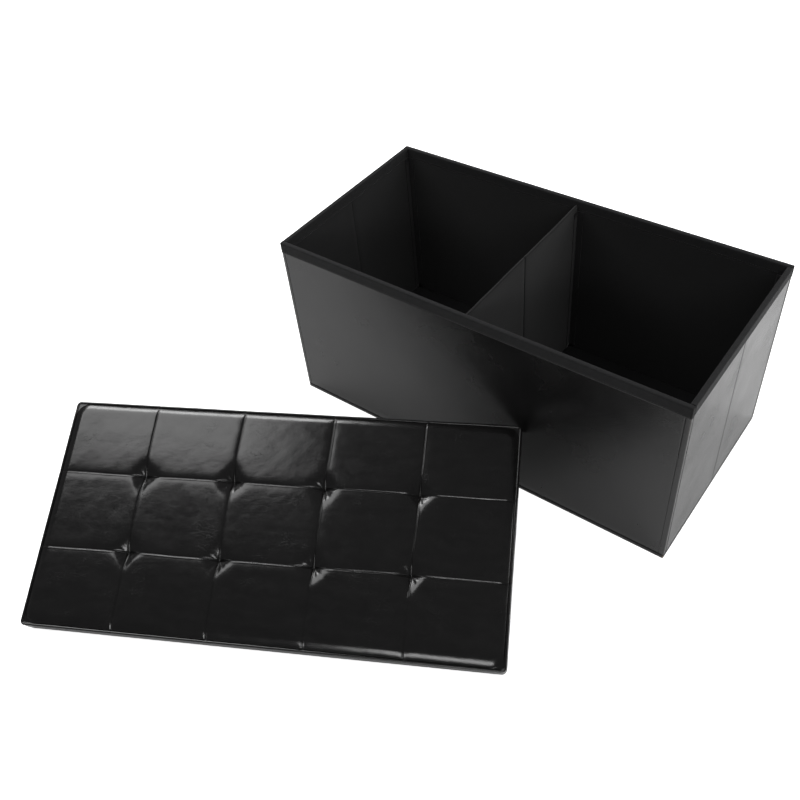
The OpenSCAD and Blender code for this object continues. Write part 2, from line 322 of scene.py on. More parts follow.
def glossyLidLeather(p):
    mat, tree, shader = startMaterial("glossyLidLeather", IOR=1.5, Coat_Weight=p["coat"],
                                      Coat_Roughness=p["coatRough"])
    turn = Matrix(lidTurn.tolist()).to_euler()
    place = coordinates(tree, turn=turn, kind="TEXTURE")
    drawn = coordinates(tree, turn=turn, scale=(p["stretch"], 1, 1), kind="TEXTURE")
    warp = addNode(tree, "TexNoise", Scale=p["warpScale"], Detail=3.0)
    tree.links.new(place, warp.inputs["Vector"])
    bend = addNode(tree, "MixRGB", {"blend_type": "LINEAR_LIGHT"}, Fac=p["warp"])
    tree.links.new(drawn, bend.inputs["Color1"])
    tree.links.new(warp.outputs["Color"], bend.inputs["Color2"])
    pebble = addNode(tree, "TexVoronoi", {"feature": "SMOOTH_F1"},
                     Scale=p["grainScale"], Smoothness=0.35)
    tree.links.new(place, pebble.inputs["Vector"])
    crease = addNode(tree, "TexVoronoi", {"feature": "DISTANCE_TO_EDGE"}, Scale=p["creaseScale"])
    tree.links.new(bend.outputs["Color"], crease.inputs["Vector"])
    streak = addNode(tree, "TexNoise", Scale=p["streakScale"], Detail=3.0, Roughness=0.6)
    tree.links.new(bend.outputs["Color"], streak.inputs["Vector"])
    # creases show only in patches, as on leather that has been handled
    patch = addNode(tree, "TexNoise", Scale=p["patchScale"], Detail=4.0, Roughness=0.6)
    tree.links.new(place, patch.inputs["Vector"])
    patchMask = remap(tree, patch.outputs["Fac"], 0.48, 0.66, 0.0, 1.0)
    streakMask = remap(tree, patch.outputs["Fac"], 0.40, 0.62, 0.25, 1.0)
    creaseLine = remap(tree, crease.outputs["Distance"], 0.0, 0.05, 1.0, 0.0)
    streakLine = remap(tree, streak.outputs["Fac"], 0.55, 0.72, 0.0, 1.0)
    creaseDepth = blendMath(tree, "MULTIPLY", creaseLine, patchMask)
    streakDepth = blendMath(tree, "MULTIPLY", streakLine, streakMask)
    soft = addNode(tree, "TexNoise", Scale=p["softScale"], Detail=5.0, Roughness=0.55)
    tree.links.new(bend.outputs["Color"], soft.inputs["Vector"])
    # painted shade: the colour is pushed towards the dark tone along the creases, in the handled
    # patches
    paintedCreaseShade = blendMath(tree, "MULTIPLY", creaseDepth, p["creaseShade"])
    tone = blendMath(tree, "SUBTRACT", soft.outputs["Fac"], paintedCreaseShade)
    shaded(tree, shader, tone, p["dark"], p["light"])
    rough = remap(tree, soft.outputs["Fac"], 0.3, 0.7, p["roughLow"], p["roughHigh"])
    dull = blendMath(tree, "MULTIPLY", creaseDepth, p["creaseDull"])
    tree.links.new(blendMath(tree, "ADD", rough, dull), shader.inputs["Roughness"])
    lines = blendMath(tree, "SUBTRACT", 1.0, blendMath(tree, "MAXIMUM", creaseDepth, streakDepth))
    bumped(tree, shader, [
        (soft.outputs["Fac"], *p["softBump"]),
        (lines, *p["lineBump"]),
        (pebble.outputs["Distance"], *p["pebbleBump"]),
    ])
    return mat


boxLeatherLook = {
    "dark": (0.0028, 0.0027, 0.0028),
    "light": (0.0058, 0.0056, 0.0057),
    "roughLow": 0.21,
    "roughHigh": 0.29,
    "grainScale": 760.0,
    "veinShare": 0.3,     # veins are larger than the pebbles
    "softScale": 14.0,
    "softBump": (0.25, 0.002),
    "veinBump": (0.16, 0.0002),
    "pebbleBump": (0.16, 0.0002),
}


def satinBoxLeather(p):
    mat, tree, shader = startMaterial("satinBoxLeather", IOR=1.5)
    place = coordinates(tree)
    pebble = addNode(tree, "TexVoronoi", {"feature": "SMOOTH_F1"},
                     Scale=p["grainScale"], Smoothness=0.4)
    tree.links.new(place, pebble.inputs["Vector"])
    vein = addNode(tree, "TexVoronoi", {"feature": "DISTANCE_TO_EDGE"},
                   Scale=p["grainScale"] * p["veinShare"])
    tree.links.new(place, vein.inputs["Vector"])
    soft = addNode(tree, "TexNoise", Scale=p["softScale"], Detail=6.0, Roughness=0.5)
    tree.links.new(place, soft.inputs["Vector"])
    shaded(tree, shader, soft.outputs["Fac"], p["dark"], p["light"])
    rough = remap(tree, soft.outputs["Fac"], 0.3, 0.7, p["roughLow"], p["roughHigh"])
    tree.links.new(rough, shader.inputs["Roughness"])
    veinLine = remap(tree, vein.outputs["Distance"], 0.0, 0.1, 0.0, 1.0)
    bumped(tree, shader, [
        (soft.outputs["Fac"], *p["softBump"]),
        (veinLine, *p["veinBump"]),
        (pebble.outputs["Distance"], *p["pebbleBump"]),
    ])
    return mat


clothLooks = {
    # pitch is one thread of the weave, or one bonded dot, in metres
    "rimBinding": {
        "dark": (0.006, 0.006, 0.0063),
        "light": (0.015, 0.015, 0.0156),
        "pitch": 0.0009,
        "rough": 0.88,
        "specular": 0.18,
        "sheen": 0.08,
        "sheenRough": 0.45,
        "lintScale": 160.0,
        "lintBump": (0.3, 0.0008),
        "weaveBump": (0.5, 0.0002),
    },
    "blackLining": {
        "dark": (0.0026, 0.0026, 0.0028),
        "light": (0.0062, 0.0062, 0.0065),
        "pitch": 0.0021,
        "rough": 0.92,
        "specular": 0.22,
        "sheen": 0.12,
        "sheenRough": 0.5,
        "fibreScale": 420.0,
        "cloudScale": 9.0,
        "dotShade": 0.62,
        "cloudBump": (0.2, 0.004),
        "fibreBump": (0.35, 0.0003),
        "dotBump": (0.35, 0.00018),
    },
}


def clothStart(name, p):
    return startMaterial(name, Roughness=p["rough"], Specular_IOR_Level=p["specular"],
                         Sheen_Weight=p["sheen"], Sheen_Roughness=p["sheenRough"])


def wovenBinding(p):
    mat, tree, shader = clothStart("matteRimBinding", p)
    place = coordinates(tree, scale=(1 / p["pitch"],) * 3, source="UV")
    threads = [addNode(tree, "TexWave", {"bands_direction": way}, Scale=0.31, Distortion=0.6,
                       Detail=1.0) for way in "XY"]
    board = addNode(tree, "TexChecker", Scale=1.0)
    for node in (*threads, board):
        tree.links.new(place, node.inputs["Vector"])
    weave = addNode(tree, "MixRGB")
    tree.links.new(board.outputs["Fac"], weave.inputs["Fac"])
    tree.links.new(threads[0].outputs["Color"], weave.inputs["Color1"])
    tree.links.new(threads[1].outputs["Color"], weave.inputs["Color2"])
    lint = addNode(tree, "TexNoise", Scale=p["lintScale"], Detail=6.0, Roughness=0.7)
    tree.links.new(coordinates(tree), lint.inputs["Vector"])
    mixed = blendMath(tree, "MULTIPLY", weave.outputs["Color"], lint.outputs["Fac"])
    shaded(tree, shader, remap(tree, mixed, 0.0, 0.55, 0.0, 1.0), p["dark"], p["light"])
    bumped(tree, shader, [
        (lint.outputs["Fac"], *p["lintBump"]),
        (weave.outputs["Color"], *p["weaveBump"]),
    ])
    return mat


def bondedLining(p):
    # spun fabric with rows of small bonded dots
    mat, tree, shader = clothStart("blackLining", p)
    place = coordinates(tree, scale=(1 / p["pitch"],) * 3, turn=(0, 0, 0.785), source="UV")
    dots = addNode(tree, "TexVoronoi", {"voronoi_dimensions": "2D"}, Scale=1.0, Randomness=0.06)
    tree.links.new(place, dots.inputs["Vector"])
    spot = remap(tree, dots.outputs["Distance"], 0.16, 0.34, 0.0, 1.0)
    fibre = addNode(tree, "TexNoise", Scale=p["fibreScale"], Detail=8.0, Roughness=0.75)
    cloud = addNode(tree, "TexNoise", Scale=p["cloudScale"], Detail=4.0)
    plain = coordinates(tree)
    tree.links.new(plain, fibre.inputs["Vector"])
    tree.links.new(plain, cloud.inputs["Vector"])
    both = blendMath(tree, "ADD", fibre.outputs["Fac"], cloud.outputs["Fac"])
    mixed = blendMath(tree, "MULTIPLY", both, remap(tree, spot, 0.0, 1.0, p["dotShade"], 1.0))
    shaded(tree, shader, remap(tree, mixed, 0.5, 1.25, 0.0, 1.0), p["dark"], p["light"])
    bumped(tree, shader, [
        (cloud.outputs["Fac"], *p["cloudBump"]),
        (fibre.outputs["Fac"], *p["fibreBump"]),
        (spot, *p["dotBump"]),
    ])
    return mat


boardLooks = {
    "wall_board": {"name": "greyWallBoard", "dark": (0.16, 0.14, 0.11),
                   "light": (0.34, 0.30, 0.24), "scale": 240.0, "rough": 0.8},
    "fibreboard": {"name": "brownFibreboard", "dark": (0.16, 0.10, 0.055),
                   "light": (0.36, 0.25, 0.15), "scale": 380.0, "rough": 0.7},
    "divider_card": {"name": "dividerCard", "dark": (0.2, 0.16, 0.12),
                     "light": (0.36, 0.3, 0.23), "scale": 300.0, "rough": 0.8},
    "foam": {"name": "openCellFoam", "dark": (0.55, 0.49, 0.3),
             "light": (0.82, 0.76, 0.52), "scale": 900.0, "rough": 0.95},
}


def pressedBoard(p):
    # felted fibres with specks
    mat, tree, shader = startMaterial(p["name"], Roughness=p["rough"], Specular_IOR_Level=0.3)
    place = coordinates(tree, scale=(1, 1, 0.35))
    fibre = addNode(tree, "TexNoise", Scale=p["scale"], Detail=9.0, Roughness=0.72)
    speck = addNode(tree, "TexVoronoi", Scale=p["scale"] * 1.7)
    tree.links.new(place, fibre.inputs["Vector"])
    tree.links.new(place, speck.inputs["Vector"])
    specks = remap(tree, speck.outputs["Distance"], 0.0, 0.6, -0.15, 0.1)
    mixed = blendMath(tree, "ADD", fibre.outputs["Fac"], specks)
    shaded(tree, shader, mixed, p["dark"], p["light"])
    bumped(tree, shader, [(mixed, 0.4, 0.0004)])
    return mat


threadLook = {"dark": (0.006, 0.006, 0.006), "light": (0.02, 0.02, 0.021), "twistScale": 900.0}


def twistedThread(p):
    mat, tree, shader = startMaterial("blackThread", Roughness=0.62, Sheen_Weight=0.2,
                                      Specular_IOR_Level=0.4)
    twist = addNode(tree, "TexWave", {"bands_direction": "DIAGONAL"}, Scale=p["twistScale"],
                    Distortion=1.0)
    tree.links.new(coordinates(tree), twist.inputs["Vector"])
    shaded(tree, shader, twist.outputs["Fac"], p["dark"], p["light"])
    bumped(tree, shader, [(twist.outputs["Fac"], 0.5, 0.0002)])
    return mat


steelLook = {"dark": (0.38, 0.38, 0.4), "light": (0.66, 0.66, 0.68), "scratchScale": 700.0}


def zincSteel(p):
    mat, tree, shader = startMaterial("zincSteel", Metallic=1.0)
    scratch = addNode(tree, "TexNoise", Scale=p["scratchScale"], Detail=6.0)
    tree.links.new(coordinates(tree, scale=(1, 0.08, 1)), scratch.inputs["Vector"])
    shaded(tree, shader, scratch.outputs["Fac"], p["dark"], p["light"])
    rough = remap(tree, scratch.outputs["Fac"], 0.3, 0.7, 0.25, 0.5)
    tree.links.new(rough, shader.inputs["Roughness"])
    bumped(tree, shader, [(scratch.outputs["Fac"], 0.15, 0.0001)])
    return mat


finishes = {
    "lid_leather": glossyLidLeather(lidLeatherLook),
    "leatherette": satinBoxLeather(boxLeatherLook),
    "rim_binding": wovenBinding(clothLooks["rimBinding"]),
    "lining_cloth": bondedLining(clothLooks["blackLining"]),
    **{slotName: pressedBoard(look) for slotName, look in boardLooks.items()},
    "twine": twistedThread(threadLook),
    "steel": zincSteel(steelLook),
}
for part in frame["record"]["subparts"]:
    mesh = nodes[part["node"]].data
    mesh.materials.clear()
    mesh.materials.append(finishes[part["material_slot"]])
print("materials made,", len(finishes))


# mesh helpers

slabEdgeRows = 4    # round a slab's edge
cornerPoints = 7    # round a corner of a path


def ripple(points, scale, seed):
    # smooth sum of sines, about -1 to 1: the same everywhere, with no random draw
    p = np.asarray(points, float) * scale
    value = np.zeros(len(p))
    for k in range(6):
        a, b, c = (math.sin(seed * 12.9 + k * t) for t in (4.1, 7.7, 2.3))
        phase = p @ np.array((a, b, c)) * (1 + 0.55 * k) + seed * 3.1 + k * 1.7
        value += np.sin(phase) / (1 + 0.45 * k)
    return value / 3.0


def addPiece(name, points, faces, slotName, uv=None):
    mesh = bpy.data.meshes.new(name)
    mesh.from_pydata([tuple(v) for v in points], [], faces)
    mesh.polygons.foreach_set("use_smooth", [True] * len(mesh.polygons))
    if uv is not None:
        layer = mesh.uv_layers.new(name="flat")
        corner = np.empty(len(mesh.loops), int)
        mesh.loops.foreach_get("vertex_index", corner)
        values = uv[corner] if len(uv) == len(points) else np.asarray(uv)
        layer.data.foreach_set("uv", np.ascontiguousarray(values, np.float32).ravel())
    mesh.materials.append(finishes[slotName])
    piece = bpy.data.objects.new(name, mesh)
    scene.collection.objects.link(piece)
    return piece


def settle(piece):
    # modifiers into the mesh
    view = bpy.context.evaluated_depsgraph_get()
    view.update()
    mesh = bpy.data.meshes.new_from_object(piece.evaluated_get(view), depsgraph=view,
                                           preserve_all_data_layers=True)
    piece.modifiers.clear()
    piece.data = mesh
    return piece


def thicken(piece, thick, even=True):
    solid = piece.modifiers.new("thickness", "SOLIDIFY")
    solid.thickness, solid.offset, solid.use_even_offset = thick, -1.0, even
    return settle(piece)


def gridFaces(rows, columns, loop=False, flip=False):
    wide = columns if loop else columns - 1
    r, c = np.meshgrid(np.arange(rows - 1), np.arange(wide), indexing="ij")
    n = (c + 1) % columns
    here, above = r * columns, (r + 1) * columns
    quads = np.stack([here + c, here + n, above + n, above + c], axis=-1).reshape(-1, 4)
    return (quads[:, ::-1] if flip else quads).tolist()


def softSlab(name, lowest, highest, radius, step, slotName, shape=None, place=None):
    # a closed slab with rounded edges, fine enough for shape to move its surface
    lowest, highest = np.array(lowest, float), np.array(highest, float)
    middle, half = (lowest + highest) / 2, (highest - lowest) / 2
    points, faces, uv, start = [], [], [], 0
    for axis in range(3):
        u, v = (axis + 1) % 3, (axis + 2) % 3
        for side in (-1, 1):
            lines = []
            for k in (u, v):
                inner = max(half[k] - radius, 0.0)
                count = max(1, int(round(2 * inner / step)))
                edge = inner + (half[k] - inner) * np.linspace(0, 1, slabEdgeRows)
                flat = np.linspace(-inner, inner, count + 1)[1:-1]
                lines.append(np.concatenate([-edge[::-1], flat, edge]))
            a, b = np.meshgrid(lines[0], lines[1], indexing="ij")
            grid = np.zeros((a.size, 3))
            grid[:, u], grid[:, v], grid[:, axis] = a.ravel(), b.ravel(), side * half[axis]
            quads = np.array(gridFaces(len(lines[0]), len(lines[1]), flip=side > 0))
            points.append(grid)
            faces.append(quads + start)
            uv.append(np.stack([grid[:, u], grid[:, v]], axis=1)[quads.ravel()])
            start += len(grid)
    points, faces, uv = np.concatenate(points), np.concatenate(faces), np.concatenate(uv)
    key, index = np.unique(points.round(7), axis=0, return_inverse=True)
    index = index.ravel()
    faces = index[faces]
    inner = np.maximum(half - radius, 0.0)
    core = np.clip(key, -inner, inner)
    away = key - core
    reach = np.linalg.norm(away, axis=1, keepdims=True)
    reach[reach == 0] = 1
    points = core + away / reach * np.minimum(radius, reach) + middle
    if shape is not None:
        points = shape(points)
    if place is not None:
        points = place(points)
    return addPiece(name, points, faces.tolist(), slotName, uv)


def roundedPath(corners, radius, step):
    # open path in plan through corners, each inner corner turned on a small radius
    points = [np.array(corners[0], float)]
    for before, here, after in zip(corners, corners[1:], corners[2:]):
        here = np.array(here, float)
        inward = (np.array(before) - here) / np.linalg.norm(np.array(before) - here)
        onward = (np.array(after) - here) / np.linalg.norm(np.array(after) - here)
        a, b = here + inward * radius, here + onward * radius
        for t in np.linspace(0, 1, cornerPoints):
            points.append((1 - t) ** 2 * a + 2 * t * (1 - t) * here + t * t * b)
    points.append(np.array(corners[-1], float))
    dense = [points[0]]
    for a, b in zip(points, points[1:]):
        pieces = max(1, int(math.ceil(np.linalg.norm(b - a) / step)))
        dense += [a + (b - a) * k / pieces for k in range(1, pieces + 1)]
    return np.array(dense)


def pathNormals(path):
    # to the right of the path's direction
    ahead = np.gradient(path, axis=0)
    ahead /= np.linalg.norm(ahead, axis=1, keepdims=True)
    return np.stack([ahead[:, 1], -ahead[:, 0]], axis=1)


def pathLength(path):
    return np.concatenate([[0], np.cumsum(np.linalg.norm(np.diff(path, axis=0), axis=1))])


print("helpers ready")


# lid: tufted leather pad

coverHigh, bandHigh = lidSpan("lid_cover")[1], lidSpan("lid_side_band")[1]
lidHalf = bandHigh[:2]
boardTop, bandTop, padTop = lidSpan("lid_board")[1][2], bandHigh[2], coverHigh[2]
pipingRadius = (lidHalf[0] - coverHigh[0]) / 2
pipingZ = bandTop + pipingRadius

pad = {
    "columns": 5,
    "rows": 3,
    "rise": 0.0032,        # how much fuller than flat the panels are
    "crown": 0.0011,       # rise of a panel's middle over its seams
    "crownReach": 0.0045,
    "dome": 0.0044,
    "shoulder": 0.0135,    # width of the rolled edge
    "shoulderCurve": 1.3,
    "cornerRadius": 0.022,
    "planCorner": 0.0036,
    "wander": (0.0009, 0.0008),  # seams run a little crooked
    "tuftSlope": 0.52,
    "tuftAcross": 0.0215,  # half width and half depth of a tuft's hollow
    "tuftAlong": 0.0245,
    "tuftSquare": 1.25,    # between a diamond and an oval
    "tuftSoft": 0.19,
    "tuftUneven": 0.08,    # tufts differ a little in depth
    "tuftLean": (0.07, 0.05),
    "tuftPull": 0.010,     # how far a tuft tightens the seams that meet there
    "groove": 0.0010,
    "grooveWidth": 0.0009,
    "lap": 0.00038,        # the lapped side of each seam
    "lapAway": 0.0019,
    "lapWidth": 0.0010,
    "pucker": 0.00018,
    "puckerRing": (0.62, 0.35),  # its middle and width, in shares of the hollow
    "handled": 0.00015,    # slow unevenness of the leather
    "edgeFade": 0.02,
    "fineStep": 0.00085,
    "wideStep": 0.0036,
}


def seamPlaces(half, count):
    return [half * (2 * k / count - 1) for k in range(1, count)]


seamX = seamPlaces(lidHalf[0], pad["columns"])
seamY = seamPlaces(lidHalf[1], pad["rows"])
tufts = [(x, y) for x in seamX for y in seamY]


def denseLines(half, seams, p):
    # grid lines, closer together near the seams and the edge
    marks = [-half, *seams, half]
    lines, at = [-half], -half
    while at < half:
        near = min(abs(at + p["fineStep"] / 2 - m) for m in marks)
        widening = min(1.0, max(0.0, near - 0.003) / 0.022)
        at += p["fineStep"] + (p["wideStep"] - p["fineStep"]) * widening
        lines.append(min(at, half))
    return np.array(lines)


def edgeDistance(x, y, half, radius):
    # distance inward from a rounded outline
    dx, dy = np.abs(x) - (half[0] - radius), np.abs(y) - (half[1] - radius)
    outside = np.hypot(np.maximum(dx, 0), np.maximum(dy, 0))
    return radius - outside - np.minimum(np.maximum(dx, dy), 0)


def padHeight(x, y, p):
    # leather surface over the lid's underside, in the lid's own frame
    flat = np.stack([x, y, np.zeros_like(x)], axis=1)
    half = coverHigh[:2]
    top = padTop + p["rise"]
    edge = edgeDistance(x, y, half, p["cornerRadius"])
    out = 1 - np.clip(edge / p["shoulder"], 0, 1)
    curve = p["shoulderCurve"]
    z = top - (top - pipingZ - 0.0002) * (1 - (1 - out ** curve) ** (1 / curve))
    z += p["dome"] * (1 - np.abs(x / half[0]) ** 3) * (1 - np.abs(y / half[1]) ** 3)
    wanderX = p["wander"][0] * ripple(flat * (0.6, 1, 1), 30, 3)
    wanderY = p["wander"][1] * ripple(flat * (1, 0.6, 1), 27, 5)
    awayX = np.min([np.abs(x - s - wanderX) for s in seamX], axis=0)
    awayY = np.min([np.abs(y - s - wanderY) for s in seamY], axis=0)
    # signed distance to the lapped side, close to a seam only
    sideX = np.min([np.where(np.abs(x - s) < 0.02, x - s - wanderX, 1.0) for s in seamX], axis=0)
    sideY = np.min([np.where(np.abs(y - s) < 0.02, s + wanderY - y, 1.0) for s in seamY], axis=0)
    edgeFade = np.clip(edge / p["edgeFade"], 0, 1)
    puffX = 1 - np.exp(-(awayX / p["crownReach"]))
    puffY = 1 - np.exp(-(awayY / p["crownReach"]))
    z += p["crown"] * (puffX * puffY - 1) * edgeFade
    nearest = np.min([np.hypot(x - a, y - b) for a, b in tufts], axis=0)
    pulled = np.exp(-nearest / p["tuftPull"])
    tight = 1 + 2.0 * pulled
    width = p["grooveWidth"] * (1 + 0.9 * pulled)
    groove = np.maximum(np.exp(-(awayX / width) ** 2), np.exp(-(awayY / width) ** 2))
    z -= p["groove"] * tight * groove * np.clip(edge / 0.005, 0.3, 1)
    z += p["lap"] * sum(np.exp(-((side - p["lapAway"]) / p["lapWidth"]) ** 2)
                        for side in (sideX, sideY))
    square, (leanOnce, leanThrice) = p["tuftSquare"], p["tuftLean"]
    ringMiddle, ringWidth = p["puckerRing"]
    for k, (a, b) in enumerate(tufts):
        dx, dy = x - a, y - b
        turn = np.arctan2(dy, dx)
        lean = 1 + leanOnce * np.sin(turn + k * 1.9) + leanThrice * np.sin(3 * turn + k)
        across = (np.abs(dx) / p["tuftAcross"]) ** square
        along = (np.abs(dy) / p["tuftAlong"]) ** square
        reach = np.hypot((across + along) ** (1 / square), 0.10) / lean
        hollow = p["tuftSoft"] * np.log1p(np.exp(np.clip((1 - reach) / p["tuftSoft"], -40, 40)))
        depth = 1 + p["tuftUneven"] * math.sin(k * 2.7)
        z -= p["tuftSlope"] * depth * p["tuftAcross"] * hollow
        pull = np.exp(-((reach - ringMiddle) / ringWidth) ** 2)
        folds = np.sin(9 * turn + 2.1 * k + 2 * reach) + 0.7 * np.sin(14 * turn - 1.3 * k)
        z += p["pucker"] * pull * folds
    z += p["handled"] * edgeFade * (ripple(flat, 62, 1) + 0.45 * ripple(flat, 170, 2))
    return z


def makePad(p):
    half = coverHigh[:2]
    lineX, lineY = denseLines(half[0], seamX, p), denseLines(half[1], seamY, p)
    x, y = np.meshgrid(lineX, lineY, indexing="ij")
    x, y = x.ravel(), y.ravel()
    # corners of the grid onto a small radius
    r = p["planCorner"]
    core = np.clip(np.stack([x, y], axis=1), -(half - r), half - r)
    off = np.stack([x, y], axis=1) - core
    size = np.linalg.norm(off, axis=1)
    both = np.abs(off).min(axis=1) > 0
    shrink = np.where(both, np.abs(off).max(axis=1) / np.where(size > 0, size, 1), 1.0)
    plan = core + off * shrink[:, None]
    z = padHeight(plan[:, 0], plan[:, 1], p)
    top = np.column_stack([plan, z])
    rows, columns = len(lineX), len(lineY)
    faces = gridFaces(rows, columns)
    index = np.arange(rows * columns).reshape(rows, columns)
    rim = np.concatenate([index[:, 0], index[-1, 1:], index[-2::-1, -1], index[0, -2:0:-1]])
    points, ring, count = [top], rim, rows * columns
    outline = top[rim]
    outward = np.sign(outline[:, :2]) * (np.abs(outline[:, :2]) > half - r - 1e-6)
    outward = outward / np.maximum(np.linalg.norm(outward, axis=1, keepdims=True), 1)
    # down the side of the foam: how far it stands out, and how high
    foamSide = ((0.0007, pipingZ - 0.0004), (0.0004, bandTop),
                (0.0004, (bandTop + boardTop) / 2), (0.0, boardTop))
    for push, height in foamSide:
        lower = np.column_stack([outline[:, :2] + outward * push, np.full(len(rim), height)])
        new = np.arange(len(rim)) + count
        onward = np.roll(ring, -1), np.roll(new, -1)
        faces += np.stack([ring, new, onward[1], onward[0]], axis=1).tolist()
        points.append(lower)
        ring, count = new, count + len(rim)
    faces.append(ring[::-1].tolist())
    points = np.concatenate(points)
    piece = addPiece("lid_tufted_pad", toLid(points), faces, "lid_leather", uv=points[:, :2])
    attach(piece, "lid")
    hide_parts("lid_cover", "lid_foam")
    return piece


print("pad:", len(makePad(pad).data.polygons), "faces")


# lid: side band, piping, tuft cords, underside

def lidOutline(inset, radius, step):
    # closed loop of points and outward normals, counter-clockwise, from the right side
    hx, hy = lidHalf[0] - inset, lidHalf[1] - inset
    radius = max(radius - inset, 0.0004)
    points, normals = [], []
    for sx, sy, first in ((1, 1, 0), (-1, 1, 90), (-1, -1, 180), (1, -1, 270)):
        centre = np.array([sx * (hx - radius), sy * (hy - radius)])
        for t in np.linspace(0, 90, 9):
            a = math.radians(first + t)
            normals.append((math.cos(a), math.sin(a)))
            points.append(centre + radius * np.array(normals[-1]))
    outPoints, outNormals = [], []
    for k in range(len(points)):
        a, b = points[k], points[(k + 1) % len(points)]
        count = max(1, int(round(np.linalg.norm(b - a) / step)))
        for j in range(count):
            t = j / count
            outPoints.append(a * (1 - t) + b * t)
            ahead = np.array(normals[(k + 1) % len(points)])
            n = np.array(normals[k]) * (1 - t) + ahead * t
            outNormals.append(n / np.linalg.norm(n))
    return np.array(outPoints), np.array(outNormals)


foldSteps = [math.radians(a) for a in (22, 45, 67, 90)]  # round a folded edge


band = {
    "step": 0.0026,
    "cornerRadius": 0.008,
    "bulge": 0.0006,
    "fold": 0.0024,       # radius of the lower edge
    "turnedIn": 0.0135,
    "sideRows": 18,
    "wrinkle": 0.00055,
    "leather": 0.0011,
}


def makeBand(p):
    outline, normal = lidOutline(0.0, p["cornerRadius"], p["step"])
    along = pathLength(outline)
    profile = [(pipingRadius * 1.2, bandTop + 0.0006), (0.0011, bandTop - 0.0002),
               (0.0004, bandTop - 0.0014)]
    firstRow, sideTop = len(profile), bandTop - 0.003
    for z in np.linspace(sideTop, p["fold"], p["sideRows"]):
        t = (z - p["fold"]) / (sideTop - p["fold"])
        profile.append((0.0005 - p["bulge"] * math.sin(math.pi * t), z))
    for turn in foldSteps:
        profile.append((0.0005 + p["fold"] * (1 - math.cos(turn)),
                        p["fold"] * (1 - math.sin(turn))))
    for reach in np.linspace(p["fold"] + 0.002, p["turnedIn"], 5):
        profile.append((reach, 0.0))
    rings = []
    for k, (inset, z) in enumerate(profile):
        wave = np.zeros(len(outline))
        if firstRow <= k < firstRow + p["sideRows"]:
            place = np.column_stack([outline, np.full(len(outline), z * 7.5)])
            wave = ripple(place, 46, 7) * 0.55 + ripple(place * (1, 1, 2.1), 60, 9) * 0.45
            fade = math.sin(math.pi * (k - firstRow + 1) / (p["sideRows"] + 1)) ** 0.6
            wave = (wave - 0.35) * p["wrinkle"] * fade
        plan = outline - normal * (inset - wave)[:, None]
        if inset > p["fold"]:  # the turned-in edge is mitred at the corners
            plan = np.clip(plan, inset - lidHalf, lidHalf - inset)
        rings.append(np.column_stack([plan, np.full(len(plan), z)]))
    points = np.concatenate(rings)
    uv = np.column_stack([np.tile(along, len(profile)), points[:, 2]])
    faces = gridFaces(len(profile), len(outline), loop=True, flip=True)
    piece = addPiece("lid_edge_band", toLid(points), faces, "lid_leather", uv)
    thicken(piece, p["leather"], even=False)
    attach(piece, "lid")
    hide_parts("lid_side_band", "lid_turned_edge")


makeBand(band)

piping = {
    "step": 0.0022,
    "around": 14,
    "notch": 0.16,        # where a seam of the top runs into the piping
    "notchWidth": 0.0016,
    "uneven": 0.00014,
    "drift": 0.00022,
}


def seamGap(outline):
    # distance along the edge to the nearest seam of the top
    gaps = []
    for axis, seams in ((0, seamX), (1, seamY)):
        onSide = np.abs(outline[:, 1 - axis]) > lidHalf[1 - axis] - 0.01
        gaps += [np.where(onSide, np.abs(outline[:, axis] - s), 1.0) for s in seams]
    return np.min(gaps, axis=0)


def makePiping(p):
    outline, normal = lidOutline(pipingRadius, band["cornerRadius"], p["step"])
    along, gap = pathLength(outline), seamGap(outline)
    flat = np.column_stack([outline, np.zeros(len(outline))])
    radius = pipingRadius * (1 - p["notch"] * np.exp(-(gap / p["notchWidth"]) ** 2))
    radius = radius - np.abs(ripple(flat, 150, 4)) * p["uneven"]
    drift = p["drift"] * ripple(flat, 45, 6) - 0.0002
    rings, uvs = [], []
    for k in range(p["around"]):
        a = 2 * math.pi * k / p["around"]
        plan = outline + normal * (math.cos(a) * radius + drift)[:, None]
        rings.append(np.column_stack([plan, pipingZ + math.sin(a) * radius]))
        uvs.append(np.column_stack([along, np.full(len(along), a * pipingRadius)]))
    faces = np.array(gridFaces(p["around"] + 1, len(outline), loop=True))
    faces %= p["around"] * len(outline)  # the last ring is the first again
    piece = addPiece("lid_piping_cord", toLid(np.concatenate(rings)), faces.tolist(),
                     "lid_leather", np.concatenate(uvs))
    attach(piece, "lid")
    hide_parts("lid_piping")


makePiping(piping)


tuftCord = {
    "radius": 0.00075,
    "turns": 9,
    "plies": 2,
    "around": 6,
    "steps": 56,
    "knot": 0.9,          # swelling at the top end
    "knotReach": 0.03,
}


